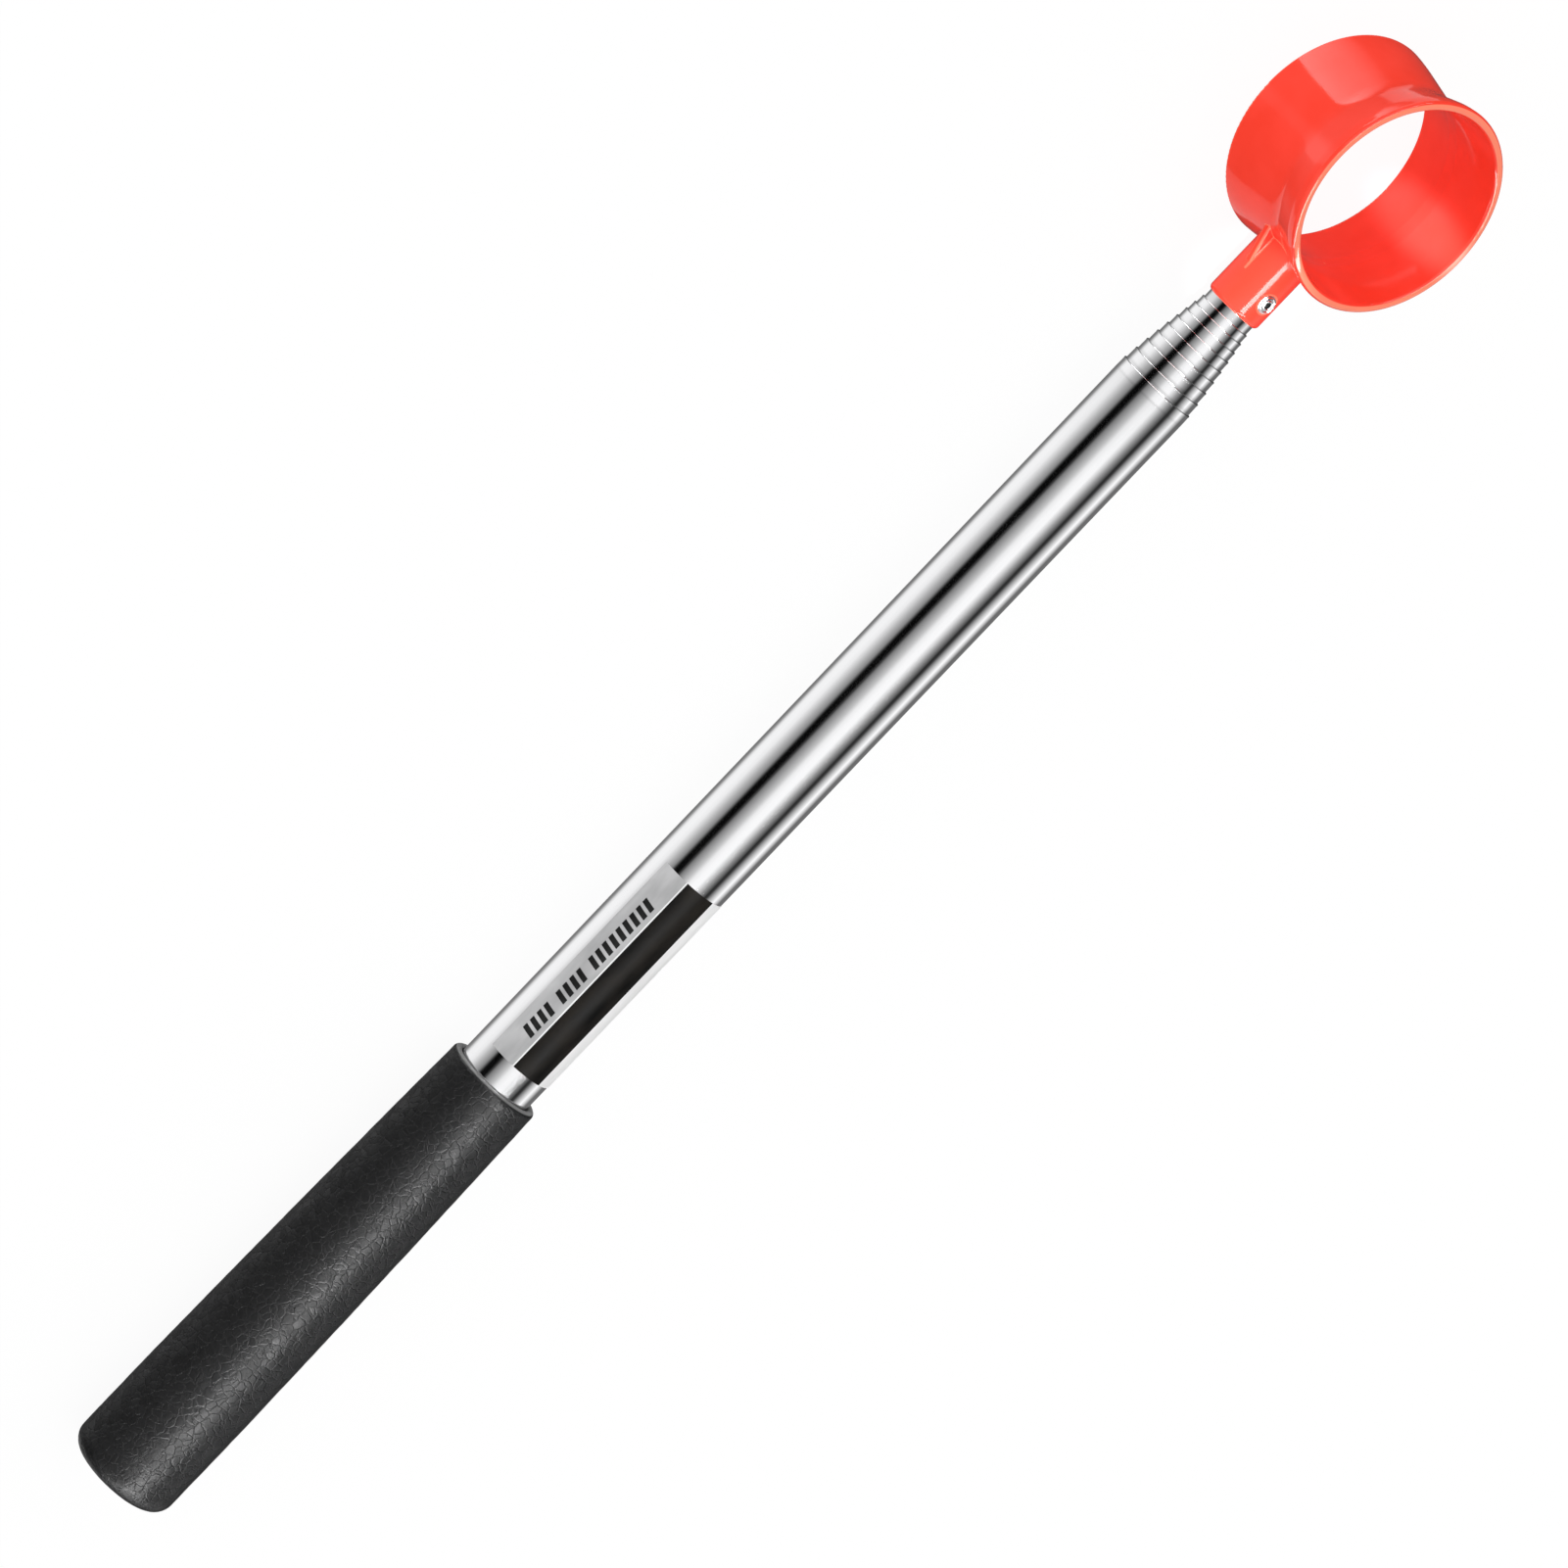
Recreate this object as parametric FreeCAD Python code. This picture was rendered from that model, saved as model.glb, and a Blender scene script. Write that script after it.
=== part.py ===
# Golf ball retriever: a ball-sized ring on a ten-section telescopic steel pole with a foam grip.
#
# The pole lies along X, ring at -X and butt at +X.  The ring stands on its rear rim at z = 0
# and its own axis is +Z.  The origin is the centre of the collapsed retriever's footprint.
# All sizes are in millimetres.  A "station" is a distance from the ring's centre towards the butt.

import FreeCAD, Part
import math
import os

# Ring and neck, one moulding
RING_DEPTH = 27.5
REAR_RIM_R = 24.35
FRONT_RIM_R = 24.65
REAR_BAND_Z = 5.0
REAR_BAND_R = 23.84
REAR_BAND_CROWN = 0.05
WAIST_Z = 16.6
WAIST_R = 22.0
FRONT_BAND_Z = 24.8
FRONT_BAND_R = 24.4
CORNER_FILLET = 8.0
THROAT_LOW = 12.1
THROAT_HIGH = 15.1
THROAT_R = 21.15
REAR_MOUTH_R = 22.6
FRONT_MOUTH_R = 22.6
WALL_MIDDLE = ((0.0, 23.5), (13.6, 21.6), (RING_DEPTH, 23.4))
REAR_LIP_RADIUS = 0.4
FRONT_LIP_RADIUS = 1.0
NECK_R = 6.5
NECK_END = 37.95
NECK_EDGE_RADIUS = 1.1
SOCKET_TOP = 26.0
SOCKET_CLEARANCE = 0.02
GUSSET_REACH = 10.0
GUSSET_TOP = 18.9
GUSSET_FOOT = 29.5
GUSSET_THICKNESS = 1.8
GUSSET_EDGE_RADIUS = 0.45
GUSSET_SEAM_RADIUS = 0.4

# Rivet through the neck
RIVET_STATION = 32.3
RIVET_SHANK_R = 1.3
RIVET_BORE_R = 0.75
RIVET_HEAD_R = 1.85
RIVET_HEAD_THICKNESS = 0.45
RIVET_HEAD_ROUNDING = 0.25
WASHER_R = 2.15
WASHER_THICKNESS = 0.35
WASHER_CLEARANCE = 0.05
WASHER_ROUNDING = 0.12
SPOT_FACE_R = 2.3
SPOT_FACE_HEIGHT = 6.1

# Telescopic pole; tube 1 is the smallest and tube 10 the outer one
TUBE_COUNT = 10
SMALLEST_TUBE_R = 5.75
OUTER_TUBE_R = 9.0
TUBE_WALL = 0.25
FIRST_SHOWING = 1.89
SHOWING_GROWTH = 0.13
LIP_CLEARANCE = 0.03
TUBE_FOOT = 358.0
GUIDE_SPAN = 45.0
SLEEVE_LENGTH = 12.0
GROOVE_DEPTH = 0.06
SLEEVE_SEAT_CLEARANCE = 0.015
SLEEVE_BORE_CLEARANCE = 0.02
SLEEVE_END_CLEARANCE = 0.1
SLEEVE_SLIT = 1.2
FLARE_LENGTH = 2.0
FLARE_SLOPE = 1.0
FLARE_CLEARANCE = 0.03
STOP_CLEARANCE = 0.5

# Butt plug
OUTER_TUBE_FOOT = 371.0
PLUG_SPIGOT = 10.0
PLUG_FLANGE = 1.0
PLUG_WALL = 1.8
PLUG_FLOOR = 2.0
VENT_R = 1.0

# Foam grip
GRIP_TOP = 257.3
GRIP_STRAIGHT = 352.0
BUTT_END = 374.6
GRIP_TOP_R = 11.05
GRIP_MIDDLE_R = 12.0
GRIP_BUTT_R = 12.6
GRIP_TOP_ROUNDING = 0.9
GRIP_BUTT_ROUNDING = 4.0
GRIP_MOUTH_CHAMFER = 0.6

# Label
LABEL_START = 198.6
LABEL_END = 251.1
LABEL_FROM_DEG = 6.2
LABEL_TURN_DEG = 170.0
LABEL_THICKNESS = 0.12

# Height of the pole's axis above the rear rim
AXIS_Z = 13.0

# Worked out from the sizes above
RING_X = -(BUTT_END - FRONT_RIM_R) / 2
TUBE_STEP = (OUTER_TUBE_R - SMALLEST_TUBE_R) / (TUBE_COUNT - 1)
LIP_ROLL = TUBE_STEP - LIP_CLEARANCE
GROOVE_START = TUBE_FOOT - GUIDE_SPAN
GROOVE_END = GROOVE_START + SLEEVE_LENGTH
COS_45 = math.cos(math.radians(45))

X_DIR = FreeCAD.Vector(1, 0, 0)
Z_DIR = FreeCAD.Vector(0, 0, 1)


def pole_point(station, radius):
    """A point in the XZ plane, given along the pole and out from the pole's axis."""
    return FreeCAD.Vector(RING_X + station, 0, AXIS_Z + radius)


def ring_point(height, radius):
    """A point in the XZ plane, given up the ring's axis and out from it."""
    return FreeCAD.Vector(RING_X + radius, 0, height)


def outline_face(make_point, outline):
    """A face bounded by lines and arcs.

    Each entry holds a corner (along, radius), reached from the entry before by a line.  An
    arc's entry also holds a point on the way: (along, radius, (mid_along, mid_radius)).
    The first corner is reached from the last.
    """
    corners = [make_point(entry[0], entry[1]) for entry in outline]
    edges = []
    for index, entry in enumerate(outline):
        start = corners[index - 1]
        if len(entry) == 3:
            edges.append(Part.Arc(start, make_point(*entry[2]), corners[index]).toShape())
        else:
            edges.append(Part.LineSegment(start, corners[index]).toShape())
    return Part.Face(Part.Wire(edges))


def turn_about_pole(outline, degrees=360):
    """The solid swept by an outline about the pole's axis."""
    return outline_face(pole_point, outline).revolve(pole_point(0, 0), X_DIR, degrees)


def turn_about_ring(outline):
    """The solid swept by an outline about the ring's axis."""
    return outline_face(ring_point, outline).revolve(ring_point(0, 0), Z_DIR, 360)


def pole_cylinder(radius, start, end):
    """A cylinder on the pole's axis between two stations."""
    return Part.makeCylinder(radius, end - start, pole_point(start, 0), X_DIR)


def rivet_cylinder(radius, low, high):
    """A cylinder on the rivet's axis; heights are from the pole's axis."""
    return Part.makeCylinder(radius, high - low, pole_point(RIVET_STATION, low), Z_DIR)


def tube_radius(number):
    """Outside radius of a tube."""
    return SMALLEST_TUBE_R + TUBE_STEP * (number - 1)


def mouth_station(number):
    """Station of a tube's mouth; each larger tube starts a little further from the ring."""
    if number == 1:
        return SOCKET_TOP + 0.2
    shown = [FIRST_SHOWING + SHOWING_GROWTH * index for index in range(number - 1)]
    return NECK_END + sum(shown)


def slide_travel(number):
    """How far a tube pulls out before its sleeve meets the next tube's rolled lip."""
    return GROOVE_START - mouth_station(number + 1) - LIP_ROLL - STOP_CLEARANCE


def rolled_lip(mouth, outer_r):
    """First outline entries of a tube whose mouth is rolled in over the next smaller tube."""
    centre_r = outer_r - LIP_ROLL
    middle = (mouth + LIP_ROLL * (1 - COS_45), centre_r + LIP_ROLL * COS_45)
    return [(mouth, centre_r), (mouth + LIP_ROLL, outer_r, middle)]


def rolled_lip_inside(mouth, outer_r):
    """Last outline entries of the same tube, on the inside of the roll."""
    centre_r = outer_r - LIP_ROLL
    inner_roll = LIP_ROLL - TUBE_WALL
    middle = (mouth + LIP_ROLL - inner_roll * COS_45, centre_r + inner_roll * COS_45)
    return [
        (mouth + LIP_ROLL, outer_r - TUBE_WALL),
        (mouth + TUBE_WALL, centre_r, middle),
    ]


def slide_tube(number):
    """A sliding tube: lip at the mouth, sleeve groove and flared guide near the foot."""
    outer_r = tube_radius(number)
    inner_r = outer_r - TUBE_WALL
    mouth = mouth_station(number)
    flare = TUBE_STEP - TUBE_WALL - FLARE_CLEARANCE
    flare_start = TUBE_FOOT - FLARE_LENGTH
    foot = [
        (GROOVE_START, outer_r),
        (GROOVE_START, outer_r - GROOVE_DEPTH),
        (GROOVE_END, outer_r - GROOVE_DEPTH),
        (GROOVE_END, outer_r),
        (flare_start - FLARE_SLOPE, outer_r),
        (flare_start, outer_r + flare),
        (TUBE_FOOT, outer_r + flare),
        (TUBE_FOOT, inner_r + flare),
        (flare_start, inner_r + flare),
        (flare_start - FLARE_SLOPE, inner_r),
    ]
    if number == 1:
        return turn_about_pole([(mouth, inner_r), (mouth, outer_r)] + foot)
    return turn_about_pole(rolled_lip(mouth, outer_r) + foot + rolled_lip_inside(mouth, outer_r))


def outer_tube():
    """The outermost tube, plain down to its foot."""
    mouth = mouth_station(TUBE_COUNT)
    foot = [(OUTER_TUBE_FOOT, OUTER_TUBE_R), (OUTER_TUBE_FOOT, OUTER_TUBE_R - TUBE_WALL)]
    outline = rolled_lip(mouth, OUTER_TUBE_R) + foot + rolled_lip_inside(mouth, OUTER_TUBE_R)
    return turn_about_pole(outline)


def spring_sleeve(number):
    """A split spring sleeve in a tube's groove, rubbing in the next larger tube."""
    start = GROOVE_START + SLEEVE_END_CLEARANCE
    end = GROOVE_END - SLEEVE_END_CLEARANCE
    inner_r = tube_radius(number) - GROOVE_DEPTH + SLEEVE_SEAT_CLEARANCE
    outer_r = tube_radius(number + 1) - TUBE_WALL - SLEEVE_BORE_CLEARANCE
    sleeve = pole_cylinder(outer_r, start, end).cut(pole_cylinder(inner_r, start, end))
    slit_corner = FreeCAD.Vector(RING_X + start, -SLEEVE_SLIT / 2, AXIS_Z)
    slit = Part.makeBox(end - start, SLEEVE_SLIT, 2 * outer_r, slit_corner)
    return sleeve.cut(slit)


def ring_solid():
    """The flared ring: long taper from the rear rim to the waist, shorter flare to the front."""
    rear_lip = REAR_LIP_RADIUS
    rear_corner = rear_lip * (1 - COS_45)
    band_middle_r = (REAR_RIM_R + REAR_BAND_R) / 2 + REAR_BAND_CROWN
    front_lip = FRONT_LIP_RADIUS
    front_corner = RING_DEPTH - front_lip * (1 - COS_45)
    lip_in = front_lip * (1 - COS_45)
    ring = turn_about_ring([
        (0, REAR_MOUTH_R + rear_lip, (rear_corner, REAR_MOUTH_R + rear_corner)),
        (0, REAR_RIM_R - rear_lip),
        (rear_lip, REAR_RIM_R, (rear_corner, REAR_RIM_R - rear_corner)),
        (REAR_BAND_Z, REAR_BAND_R, ((rear_lip + REAR_BAND_Z) / 2, band_middle_r)),
        (WAIST_Z, WAIST_R),
        (FRONT_BAND_Z, FRONT_BAND_R),
        (RING_DEPTH - front_lip, FRONT_RIM_R),
        (RING_DEPTH, FRONT_RIM_R - front_lip, (front_corner, FRONT_RIM_R - lip_in)),
        (RING_DEPTH, FRONT_MOUTH_R + front_lip),
        (RING_DEPTH - front_lip, FRONT_MOUTH_R, (front_corner, FRONT_MOUTH_R + lip_in)),
        (THROAT_HIGH, THROAT_R),
        (THROAT_LOW, THROAT_R),
        (rear_lip, REAR_MOUTH_R),
    ])
    corners = [edge for edge in ring.Edges
               if is_ring_edge(edge, WAIST_Z, WAIST_R) or is_ring_edge(edge, FRONT_BAND_Z, FRONT_BAND_R)]
    return ring.makeFillet(CORNER_FILLET, corners)


def is_ring_edge(edge, height, radius):
    """Whether an edge is the circle about the ring's axis at this height and radius."""
    return (isinstance(edge.Curve, Part.Circle)
            and abs(edge.Curve.Radius - radius) < 0.001
            and abs(edge.Curve.Center.z - height) < 0.001)


def gusset_ribs():
    """Two triangular ribs in the ring's mid plane, one on each side of the neck."""
    corners = [
        (GUSSET_TOP, -GUSSET_REACH),
        (GUSSET_FOOT, -NECK_R + 0.4),
        (GUSSET_FOOT, NECK_R - 0.4),
        (GUSSET_TOP, GUSSET_REACH),
    ]
    bottom = AXIS_Z - GUSSET_THICKNESS / 2
    points = [FreeCAD.Vector(RING_X + station, side, bottom) for station, side in corners]
    face = Part.Face(Part.makePolygon(points + points[:1]))
    rib = face.extrude(Z_DIR * GUSSET_THICKNESS)
    slanted = [edge for edge in rib.Edges if is_slanted(edge)]
    return rib.makeFillet(GUSSET_EDGE_RADIUS, slanted)


def is_slanted(edge):
    """Whether an edge runs askew to both X and Y."""
    along = edge.tangentAt(edge.FirstParameter)
    return abs(along.x) > 0.05 and abs(along.y) > 0.05


def gusseted_neck():
    """The round neck with its gussets, blended in along the seams."""
    neck = pole_cylinder(NECK_R, 0, NECK_END)
    rim = [edge for edge in neck.Edges if abs(edge.CenterOfMass.x - RING_X - NECK_END) < 0.001]
    neck = neck.makeFillet(NECK_EDGE_RADIUS, rim).fuse(gusset_ribs()).removeSplitter()
    seams = [edge for edge in neck.Edges
             if isinstance(edge.Curve, Part.Line)
             and abs(edge.tangentAt(edge.FirstParameter).x) > 0.999
             and abs(abs(edge.CenterOfMass.z - AXIS_Z) - GUSSET_THICKNESS / 2) < 0.001]
    return neck.makeFillet(GUSSET_SEAM_RADIUS, seams)


def ball_ring_head():
    """Ring, neck and gussets as one moulding, with the pole's socket and the rivet's hole."""
    wall_middle = turn_about_ring([(0, 0), *WALL_MIDDLE, (RING_DEPTH, 0)])
    head = ring_solid().fuse(gusseted_neck().cut(wall_middle)).removeSplitter()
    head = head.cut(pole_cylinder(SMALLEST_TUBE_R + SOCKET_CLEARANCE, SOCKET_TOP, NECK_END + 1))
    for low, high in ((-2 * NECK_R, -SPOT_FACE_HEIGHT), (SPOT_FACE_HEIGHT, 2 * NECK_R)):
        head = head.cut(rivet_cylinder(SPOT_FACE_R, low, high))
    return head.cut(rivet_cylinder(RIVET_SHANK_R, -2 * NECK_R, 2 * NECK_R))


def head_rivet():
    """The hollow rivet, with a rolled head at each end."""
    seat = SPOT_FACE_HEIGHT + WASHER_THICKNESS
    tip = seat + RIVET_HEAD_THICKNESS
    shank = rivet_cylinder(RIVET_SHANK_R, -seat, seat)
    heads = [rivet_cylinder(RIVET_HEAD_R, seat, tip), rivet_cylinder(RIVET_HEAD_R, -tip, -seat)]
    rivet = shank.fuse(heads).cut(rivet_cylinder(RIVET_BORE_R, -tip, tip))
    ends = [edge for edge in rivet.Edges
            if abs(abs(edge.CenterOfMass.z - AXIS_Z) - tip) < 0.001]
    return rivet.makeFillet(RIVET_HEAD_ROUNDING, ends)


def rivet_washers():
    """One washer on each of the neck's two spot faces."""
    washers = []
    for low in (SPOT_FACE_HEIGHT, -SPOT_FACE_HEIGHT - WASHER_THICKNESS):
        high = low + WASHER_THICKNESS
        hole = rivet_cylinder(RIVET_SHANK_R + WASHER_CLEARANCE, low, high)
        washer = rivet_cylinder(WASHER_R, low, high).cut(hole)
        outside = [edge for edge in washer.Edges
                   if isinstance(edge.Curve, Part.Circle) and edge.Curve.Radius == WASHER_R]
        washers.append(washer.makeFillet(WASHER_ROUNDING, outside))
    return Part.makeCompound(washers)


def slide_tube_1():
    """The smallest tube, drilled across for the rivet."""
    return slide_tube(1).cut(rivet_cylinder(RIVET_SHANK_R, -NECK_R, NECK_R))


def foam_grip():
    """The foam grip: gently tapered, open at the top, closed and rounded at the butt."""
    corner = GRIP_BUTT_ROUNDING * (1 - COS_45)
    top_corner = GRIP_TOP_ROUNDING * (1 - COS_45)
    floor = OUTER_TUBE_FOOT + PLUG_FLANGE
    middle = ((GRIP_TOP + GRIP_STRAIGHT) / 2, GRIP_MIDDLE_R)
    return turn_about_pole([
        (GRIP_TOP, OUTER_TUBE_R + GRIP_MOUTH_CHAMFER),
        (GRIP_TOP, GRIP_TOP_R - GRIP_TOP_ROUNDING),
        (GRIP_TOP + GRIP_TOP_ROUNDING, GRIP_TOP_R, (GRIP_TOP + top_corner, GRIP_TOP_R - top_corner)),
        (GRIP_STRAIGHT, GRIP_BUTT_R, middle),
        (BUTT_END - GRIP_BUTT_ROUNDING, GRIP_BUTT_R),
        (BUTT_END, GRIP_BUTT_R - GRIP_BUTT_ROUNDING, (BUTT_END - corner, GRIP_BUTT_R - corner)),
        (BUTT_END, VENT_R),
        (floor, VENT_R),
        (floor, OUTER_TUBE_R),
        (GRIP_TOP + GRIP_MOUTH_CHAMFER, OUTER_TUBE_R),
    ])


def butt_plug():
    """The cup-shaped plug in the foot of the outer tube, with a vent hole."""
    spigot_r = OUTER_TUBE_R - TUBE_WALL
    start = OUTER_TUBE_FOOT - PLUG_SPIGOT
    end = OUTER_TUBE_FOOT + PLUG_FLANGE
    return turn_about_pole([
        (start, spigot_r - PLUG_WALL),
        (start, spigot_r),
        (OUTER_TUBE_FOOT, spigot_r),
        (OUTER_TUBE_FOOT, OUTER_TUBE_R),
        (end, OUTER_TUBE_R),
        (end, VENT_R),
        (end - PLUG_FLOOR, VENT_R),
        (end - PLUG_FLOOR, spigot_r - PLUG_WALL),
    ])


def wrap_label():
    """The label: a thin skin round part of the outer tube."""
    outer_r = OUTER_TUBE_R + LABEL_THICKNESS
    label = turn_about_pole([
        (LABEL_START, OUTER_TUBE_R),
        (LABEL_START, outer_r),
        (LABEL_END, outer_r),
        (LABEL_END, OUTER_TUBE_R),
    ], LABEL_TURN_DEG)
    # The outline starts above the axis; its turn is measured from -Y towards +Z.
    label.rotate(pole_point(0, 0), X_DIR, 90 - LABEL_FROM_DEG - LABEL_TURN_DEG)
    return label


def all_nodes():
    """Every piece of the retriever, by node name."""
    nodes = {
        "ball_ring_head": ball_ring_head(),
        "head_rivet": head_rivet(),
        "rivet_washers": rivet_washers(),
        "slide_tube_1": slide_tube_1(),
        "outer_tube": outer_tube(),
        "butt_plug": butt_plug(),
        "foam_grip": foam_grip(),
        "wrap_label": wrap_label(),
    }
    for number in range(2, TUBE_COUNT):
        nodes[f"slide_tube_{number}"] = slide_tube(number)
    for number in range(1, TUBE_COUNT):
        nodes[f"spring_sleeve_{number}"] = spring_sleeve(number)
    return nodes


os.makedirs("parts", exist_ok=True)
for name, shape in all_nodes().items():
    shape.exportStep(f"parts/{name}.step")
    box = shape.optimalBoundingBox()
    print(f"{name}: {len(shape.Solids)} solid(s), valid {shape.isValid()}, "
          f"x {box.XMin:.1f} to {box.XMax:.1f}, z {box.ZMin:.2f} to {box.ZMax:.2f}")
for number in range(1, TUBE_COUNT):
    print(f"slide {number}: travel {slide_travel(number):.2f}")
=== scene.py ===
# Looks of the golf ball retriever: fine meshes, finishes, studio and camera.
#
# Metres, in the CAD frame: the pole lies along X with the ring at -X, and the ring's axis is +Z.
# Angles round the pole start at -Y and grow towards +Z.

import math

import bmesh
import bpy
from mathutils import Matrix, Vector, noise


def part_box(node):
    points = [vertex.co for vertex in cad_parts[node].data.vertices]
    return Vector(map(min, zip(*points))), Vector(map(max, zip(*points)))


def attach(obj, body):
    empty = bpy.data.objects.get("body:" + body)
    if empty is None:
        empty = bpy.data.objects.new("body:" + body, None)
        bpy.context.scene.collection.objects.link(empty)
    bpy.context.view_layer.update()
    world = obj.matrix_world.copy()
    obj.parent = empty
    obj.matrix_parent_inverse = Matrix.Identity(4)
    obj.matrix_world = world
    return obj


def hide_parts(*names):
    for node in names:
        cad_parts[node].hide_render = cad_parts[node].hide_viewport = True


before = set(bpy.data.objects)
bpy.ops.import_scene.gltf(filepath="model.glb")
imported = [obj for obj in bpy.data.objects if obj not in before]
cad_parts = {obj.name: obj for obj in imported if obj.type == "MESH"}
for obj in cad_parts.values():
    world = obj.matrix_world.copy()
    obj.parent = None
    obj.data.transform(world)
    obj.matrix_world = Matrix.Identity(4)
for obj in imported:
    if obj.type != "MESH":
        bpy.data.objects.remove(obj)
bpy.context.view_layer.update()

MM = 0.001
POLE_Z = sum(corner.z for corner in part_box("outer_tube")) / 2
RIVET = (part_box("head_rivet")[0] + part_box("head_rivet")[1]) / 2
RING_LOW, RING_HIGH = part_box("ball_ring_head")
RING_R = (RING_HIGH.y - RING_LOW.y) / 2
RING_X = RING_LOW.x + RING_R
TUBE_COUNT = 10
TUBE_WALL = 0.25 * MM
TUBE_SEGMENTS = 128
SHARP_DEG = 40
# Each tube's mouth rolls in over the next tube; behind it a bead and a shallow dip run round.
LIP_CLEARANCE = 0.03 * MM
LIP_CURL = 0.12 * MM
BEAD_HEIGHT = 0.045 * MM
BEAD_END = 0.25 * MM
DIP_START = 0.55 * MM
DIP_END = 2.5 * MM
SETTLE = 0.4 * MM
# Near the foot a groove holds the spring sleeve, and the end flares to meet the next tube.
GROOVE_DEPTH = 0.06 * MM
SLEEVE_END_CLEARANCE = 0.1 * MM
FLARE_LENGTH = 2.0 * MM
FLARE_SLOPE = 1.0 * MM
LABEL_THICKNESS = 0.12 * MM
LABEL_FROM_DEG = 6.2
LABEL_TO_DEG = 176.2
MOUTH_REACH = 1.0 * MM


# ---------------------------------------------------------------- mesh helpers

def pole_point(x, radius, degrees):
    """A point given along the pole, out from its axis and round it."""
    turn = math.radians(degrees)
    return Vector((x, -radius * math.cos(turn), POLE_Z + radius * math.sin(turn)))


def arc(x, radius, bend, from_deg, to_deg, steps=6):
    """Outline points (x, radius) on an arc; 0 degrees points along +X and 90 outwards."""
    points = []
    for step in range(steps + 1):
        turn = math.radians(from_deg + (to_deg - from_deg) * step / steps)
        points.append((x + bend * math.cos(turn), radius + bend * math.sin(turn)))
    return points


def new_piece(name, mesh, body, slot, *nodes):
    """An object for a mesh, riding on a body and standing for CAD nodes."""
    piece = bpy.data.objects.new(name, mesh)
    bpy.context.scene.collection.objects.link(piece)
    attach(piece, body)
    if nodes:
        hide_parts(*nodes)
    return piece


def smooth(mesh):
    """Smooth shading, kept sharp at edges that turn by more than SHARP_DEG."""
    mesh.polygons.foreach_set("use_smooth", [True] * len(mesh.polygons))
    mesh.set_sharp_from_angle(angle=math.radians(SHARP_DEG))


def rivet_point(height, radius, degrees):
    """A point given up the rivet, from the pole's axis, out from the rivet's axis and round it."""
    turn = math.radians(degrees)
    return RIVET + Vector((radius * math.cos(turn), radius * math.sin(turn), height))


def lathe(name, outline, segments, from_deg=0, to_deg=360, place=pole_point):
    """A closed mesh swept by a closed outline of (along, radius) points round an axis."""
    full = to_deg - from_deg >= 360
    count = segments if full else segments + 1
    shape = bmesh.new()
    rings = []
    for index in range(count):
        degrees = from_deg + (to_deg - from_deg) * index / segments
        rings.append([shape.verts.new(place(along, radius, degrees)) for along, radius in outline])
    for index in range(segments):
        ring, following = rings[index], rings[(index + 1) % count]
        for corner in range(len(outline)):
            shape.faces.new((ring[corner - 1], ring[corner],
                             following[corner], following[corner - 1]))
    if not full:
        shape.faces.new(rings[0])
        shape.faces.new(rings[-1][::-1])
    bmesh.ops.recalc_face_normals(shape, faces=shape.faces)
    mesh = bpy.data.meshes.new(name)
    shape.to_mesh(mesh)
    shape.free()
    smooth(mesh)
    return mesh


# ------------------------------------------------------------ material helpers

EVEN = (1, 1, 1)
NOISE_RANGE = (0.3, 0.7)


def new_material(name):
    """A node material, its tree and its Principled shader."""
    material = bpy.data.materials.new(name)
    material.use_nodes = True
    return material, material.node_tree, material.node_tree.nodes["Principled BSDF"]


def set_inputs(tree, node, inputs):
    """A node's inputs set to values or linked to sockets."""
    for name, value in inputs.items():
        if isinstance(value, bpy.types.NodeSocket):
            tree.links.new(value, node.inputs[name])
        else:
            node.inputs[name].default_value = value


def add_node(tree, kind, inputs, **settings):
    """A node with its settings and its inputs."""
    made = tree.nodes.new(kind)
    for name, value in settings.items():
        setattr(made, name, value)
    set_inputs(tree, made, inputs)
    return made


def object_place(tree):
    """A point's place in the object's own coordinates."""
    return add_node(tree, "ShaderNodeTexCoord", {}).outputs["Object"]


def grain(tree, stretch, scale, detail=3.0, roughness=0.5):
    """Noise over the object's own coordinates in millimetres, stretched along each axis."""
    scaled = add_node(tree, "ShaderNodeMapping", {
        "Vector": object_place(tree),
        "Scale": tuple(part / MM for part in stretch),
    })
    noisy = add_node(tree, "ShaderNodeTexNoise", {
        "Vector": scaled.outputs["Vector"],
        "Scale": scale,
        "Detail": detail,
        "Roughness": roughness,
    })
    return noisy.outputs["Fac"]


def calculate(tree, operation, first, second):
    """A sum, product or other result of two numbers or sockets."""
    return add_node(tree, "ShaderNodeMath", {0: first, 1: second}, operation=operation).outputs[0]


def product(tree, first, *others):
    """Numbers or sockets multiplied together."""
    for other in others:
        first = calculate(tree, "MULTIPLY", first, other)
    return first


def remap(tree, value, low, high, to_low, to_high):
    """A value's range changed to another, and kept inside it."""
    changed = add_node(tree, "ShaderNodeMapRange", {
        "Value": value,
        "From Min": low,
        "From Max": high,
        "To Min": to_low,
        "To Max": to_high,
    })
    return changed.outputs["Result"]


def spread(tree, noisy, low, high):
    """Noise, which mostly stays within its usual range, spread from one value to another."""
    return remap(tree, noisy, *NOISE_RANGE, low, high)


def mix_colour(tree, share, first, second):
    """Two colours mixed by a share from 0 to 1; the first may be a socket."""
    if not isinstance(first, bpy.types.NodeSocket):
        first = (*first, 1)
    inputs = {0: share, 6: first, 7: (*second, 1)}
    return add_node(tree, "ShaderNodeMix", inputs, data_type="RGBA").outputs[2]


def bump(tree, height, distance, strength, before=None):
    """A bumped normal; distance is the height of the relief in metres."""
    inputs = {"Height": height, "Distance": distance, "Strength": strength}
    if before is not None:
        inputs["Normal"] = before
    return add_node(tree, "ShaderNodeBump", inputs).outputs["Normal"]


# ------------------------------------------------------------------- materials

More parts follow.
